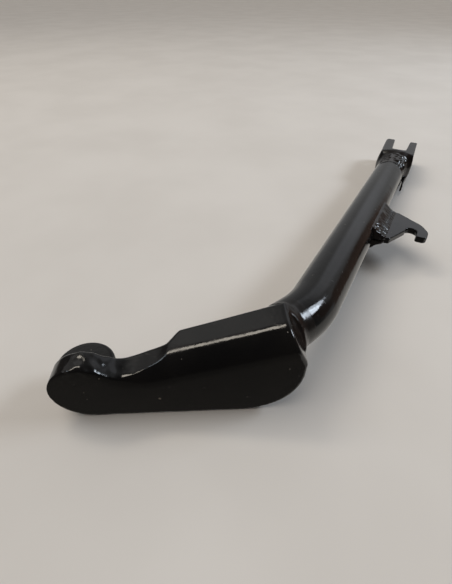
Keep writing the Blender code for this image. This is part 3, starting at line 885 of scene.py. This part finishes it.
def paint_material(name, dark, light, gloss, rough, peel, dust, chips=()):
    """Black paint: slow changes of colour and gloss, orange peel, fine scratches, dust and a few chips."""
    m = NodeMaterial(name)
    speck = speck_mask(m, dust)
    scratch = scratch_mask(m)
    colour = m.mix(m.ramp(m.noise(TONE_SCALE, detail=4.0), *TONE_RANGE), dark, light)
    colour = m.mix(m.maths("MULTIPLY", speck, SPECK_COVER), colour, SPECK_COLOUR)
    colour = m.mix(m.maths("MULTIPLY", scratch, SCRATCH_COVER), colour, SCRATCH_COLOUR)
    if chips:
        colour = m.mix(m.maths("MULTIPLY", chip_mask(m, chips), CHIP_COVER), colour, CHIP_COLOUR)
    m.link(colour, m.shader.inputs["Base Color"])
    worn = m.ramp(m.noise(GLOSS_SCALE, detail=5.0, roughness=0.6), *GLOSS_RANGE, gloss, rough)
    worn = m.maths("ADD", worn, m.maths("MULTIPLY", scratch, SCRATCH_ROUGHNESS))
    worn = m.maths("ADD", worn, m.maths("MULTIPLY", speck, SPECK_ROUGHNESS))
    m.link(worn, m.shader.inputs["Roughness"])
    m.shader.inputs["Metallic"].default_value = 0.0
    m.shader.inputs["IOR"].default_value = 1.5
    normal = m.bump(m.noise(WAVINESS_SCALE, detail=2.0), WAVINESS_DEPTH * peel)
    normal = m.bump(m.noise(PEEL_SCALE, roughness=0.55), PEEL_DEPTH * peel, normal)
    normal = m.bump(speck, SPECK_HEIGHT, normal)
    normal = m.bump(m.maths("MULTIPLY", scratch, -1.0), SCRATCH_DEPTH, normal)
    m.link(normal, m.shader.inputs["Normal"])
    return m.material


# ---------------------------------------------------------------- floor and camera

FLOOR_HALF_SIZE = 25.0  # metres
FLOOR_DROP = 0.0002
FLOOR_SCALE = 9.0
FLOOR_RANGE = (0.3, 0.7)
FLOOR_DARK = (0.66, 0.62, 0.575, 1.0)
FLOOR_LIGHT = (0.70, 0.66, 0.615, 1.0)


def make_floor():
    """A pale matt floor. In reflections, the room's patches below the horizon stand in for it."""
    m = NodeMaterial("pale_floor")
    tone = m.ramp(m.noise(FLOOR_SCALE), *FLOOR_RANGE)
    m.link(m.mix(tone, FLOOR_DARK, FLOOR_LIGHT), m.shader.inputs["Base Color"])
    m.shader.inputs["Roughness"].default_value = 0.9
    m.shader.inputs["Specular IOR Level"].default_value = 0.2
    mesh = bpy.data.meshes.new("floor")
    signs = ((-1, -1), (1, -1), (1, 1), (-1, 1))
    corners = [(x * FLOOR_HALF_SIZE, y * FLOOR_HALF_SIZE, 0.0) for x, y in signs]
    mesh.from_pydata(corners, [], [(0, 1, 2, 3)])
    mesh.materials.append(m.material)
    floor = bpy.data.objects.new("floor", mesh)
    floor.location.z = -FLOOR_DROP
    bpy.context.scene.collection.objects.link(floor)
    floor.visible_glossy = False


def make_camera():
    """The camera, placed in the foot's frame."""
    data = bpy.data.cameras.new("camera")
    data.sensor_fit = "VERTICAL"
    data.sensor_height = CAMERA_SENSOR
    data.lens = CAMERA_LENS
    data.clip_start = CAMERA_CLIP
    camera = bpy.data.objects.new("camera", data)
    turn = Euler((math.pi / 2 - CAMERA_PITCH, 0.0, -CAMERA_HEADING)).to_matrix().to_4x4()
    place = FOOT @ Matrix.Translation(CAMERA_PLACE) @ turn
    place.translation *= MM
    camera.matrix_world = place
    bpy.context.scene.collection.objects.link(camera)
    bpy.context.scene.camera = camera


# ---------------------------------------------------------------- lights and room

# Directions are in degrees: azimuth from +Y towards +X, and elevation above the horizon.
LIGHT_DISTANCE = 1.6
BEND_TOP = LEG @ Vector((3.0, -300.0, 11.0)) * MM
FOOT_MIDDLE = FOOT @ Vector((10.0, 0.0, 35.0)) * MM
WINDOW_COLOUR = (0.80, 0.89, 1.0)
WARM_COLOUR = (1.0, 0.92, 0.80)
BLUE_COLOUR = (0.80, 0.90, 1.0)
SKY_COLOUR = (1.0, 0.975, 0.94)
LIGHTS = (  # name, target, azimuth, elevation, width and height, radiance, colour, turn about its own axis
    ("window_left", BEND_TOP, 40.5, 35.0, (0.26, 0.40), 9.2, WINDOW_COLOUR, 0.0),
    ("window_right", BEND_TOP, 52.0, 35.0, (0.34, 0.40), 16.0, WINDOW_COLOUR, 0.0),
    ("left_window", FOOT_MIDDLE, -79.7, 54.6, (0.80, 0.21), 7.5, WARM_COLOUR, -40.0),
    ("left_sky", FOOT_MIDDLE, -105.0, 38.0, (0.36, 0.36), 3.5, BLUE_COLOUR, 0.0),
)
ROOM_COLOUR = (0.05, 0.045, 0.042)
ROOM_PATCHES = (  # azimuth, elevation, half width, half height, width of the soft edge, colour
    (-5.0, 16.0, 62.0, 40.0, 40.0, (0.31, 0.31, 0.31)),  # grey walls
    (4.0, 28.0, 16.0, 12.0, 14.0, (0.60, 0.61, 0.64)),  # a brighter part of them
    (-84.0, 31.0, 11.0, 14.0, 8.0, (0.35, 0.34, 0.33)),  # the left wall
    (-62.0, 38.0, 12.0, 10.0, 10.0, (0.56, 0.55, 0.53)),  # and its lit part, seen in the foot's top
    (20.0, -46.0, 110.0, 34.0, 8.0, (0.48, 0.46, 0.43)),  # the floor
    (165.0, -52.0, 50.0, 36.0, 12.0, (0.100, 0.092, 0.082)),  # the shaded floor in front, seen in the sole
    (33.0, 1.0, 12.0, 14.0, 6.0, (0.13, 0.085, 0.065)),  # a brown band, seen along the tube's right side
    (54.0, 12.0, 10.0, 14.0, 8.0, (0.10, 0.07, 0.055)),  # and its right end
)


def toward(azimuth, elevation):
    """The unit vector of a direction."""
    a, e = math.radians(azimuth), math.radians(elevation)
    return Vector((math.sin(a) * math.cos(e), math.cos(a) * math.cos(e), math.sin(e)))


def add_light(name, target, azimuth, elevation, size, radiance, colour, turn):
    """A rectangular soft light that looks at a target point."""
    data = bpy.data.lights.new(name, "AREA")
    data.shape = "RECTANGLE"
    data.size, data.size_y = size
    data.energy = radiance * math.pi * size[0] * size[1]
    data.color = colour
    light = bpy.data.objects.new(name, data)
    direction = toward(azimuth, elevation)
    light.location = target + direction * LIGHT_DISTANCE
    aim = (-direction).to_track_quat("-Z", "Y").to_matrix().to_4x4()
    light.rotation_euler = (aim @ Matrix.Rotation(math.radians(turn), 4, "Z")).to_euler()
    bpy.context.scene.collection.objects.link(light)


def add_sky(name, azimuth, elevation, strength, colour, spread):
    """Soft light from far above, the same all over the floor. It makes no highlights."""
    data = bpy.data.lights.new(name, "SUN")
    data.energy = strength
    data.color = colour
    data.angle = math.radians(spread)
    light = bpy.data.objects.new(name, data)
    light.rotation_euler = (-toward(azimuth, elevation)).to_track_quat("-Z", "Y").to_euler()
    bpy.context.scene.collection.objects.link(light)
    light.visible_glossy = False


class Room(NodeTree):
    """The room round the stand, painted as soft patches by direction."""

    def __init__(self, colour):
        world = bpy.data.worlds.new("room")
        bpy.context.scene.world = world
        world.use_nodes = True
        super().__init__(world.node_tree)
        parts = self.add("ShaderNodeSeparateXYZ")
        self.link(self.add("ShaderNodeTexCoord").outputs["Generated"], parts.inputs[0])
        self.azimuth = self.maths("ARCTAN2", parts.outputs["X"], parts.outputs["Y"])
        self.elevation = self.maths("ARCSINE", parts.outputs["Z"])
        self.colour = (*colour, 1.0)

    def near(self, away, half, soft):
        """One where the difference from an angle is under half, fading to zero over soft."""
        away = self.maths("ABSOLUTE", away)
        return self.ramp(away, math.radians(half - soft / 2), math.radians(half + soft / 2), 1.0, 0.0)

    def patch(self, azimuth, elevation, half_width, half_height, soft, colour):
        """Replace the room's colour inside a soft-edged patch of directions."""
        sideways = self.maths("SUBTRACT", self.azimuth, math.radians(azimuth))
        sideways = self.maths("WRAP", sideways, math.pi, -math.pi)
        upwards = self.maths("SUBTRACT", self.elevation, math.radians(elevation))
        in_width = self.near(sideways, half_width, soft)
        in_height = self.near(upwards, half_height, soft)
        inside = self.maths("MULTIPLY", in_width, in_height)
        self.colour = self.mix(inside, self.colour, (*colour, 1.0))

    def finish(self):
        self.link(self.colour, self.tree.nodes["Background"].inputs["Color"])


def make_room():
    room = Room(ROOM_COLOUR)
    for patch in ROOM_PATCHES:
        room.patch(*patch)
    room.finish()


def make_lights():
    for light in LIGHTS:
        add_light(*light)
    add_sky("overhead", azimuth=-125.0, elevation=70.0, strength=1.3, colour=SKY_COLOUR, spread=55.0)


# ---------------------------------------------------------------- the scene

def make_stand():
    paint = paint_material(
        "black_paint",
        dark=(0.0028, 0.0028, 0.003, 1.0),
        light=(0.0062, 0.0058, 0.0055, 1.0),
        gloss=0.07,
        rough=0.15,
        peel=0.8,
        dust=0.05,
        chips=[(FOOT @ Vector(place) * MM, radius * MM) for place, radius in FOOT_CHIPS],
    )
    # The welds' browner, lighter colour is a painted reflection: the dark brown that their hollows reflect,
    # laid into the paint's colour.
    weld = paint_material(
        "painted_weld",
        dark=(0.0045, 0.0036, 0.0032, 1.0),
        light=(0.014, 0.009, 0.007, 1.0),
        gloss=0.12,
        rough=0.28,
        peel=0.7,
        dust=0.07,
    )
    tube_piece(paint)
    for piece in PAINTED_PIECES:
        field_piece(*piece, paint, "black_paint")
    for piece in WELD_PIECES:
        field_piece(*piece, weld, "painted_weld")


make_camera()
make_floor()
make_room()
make_lights()
make_stand()
bpy.context.scene.view_settings.view_transform = "Standard"
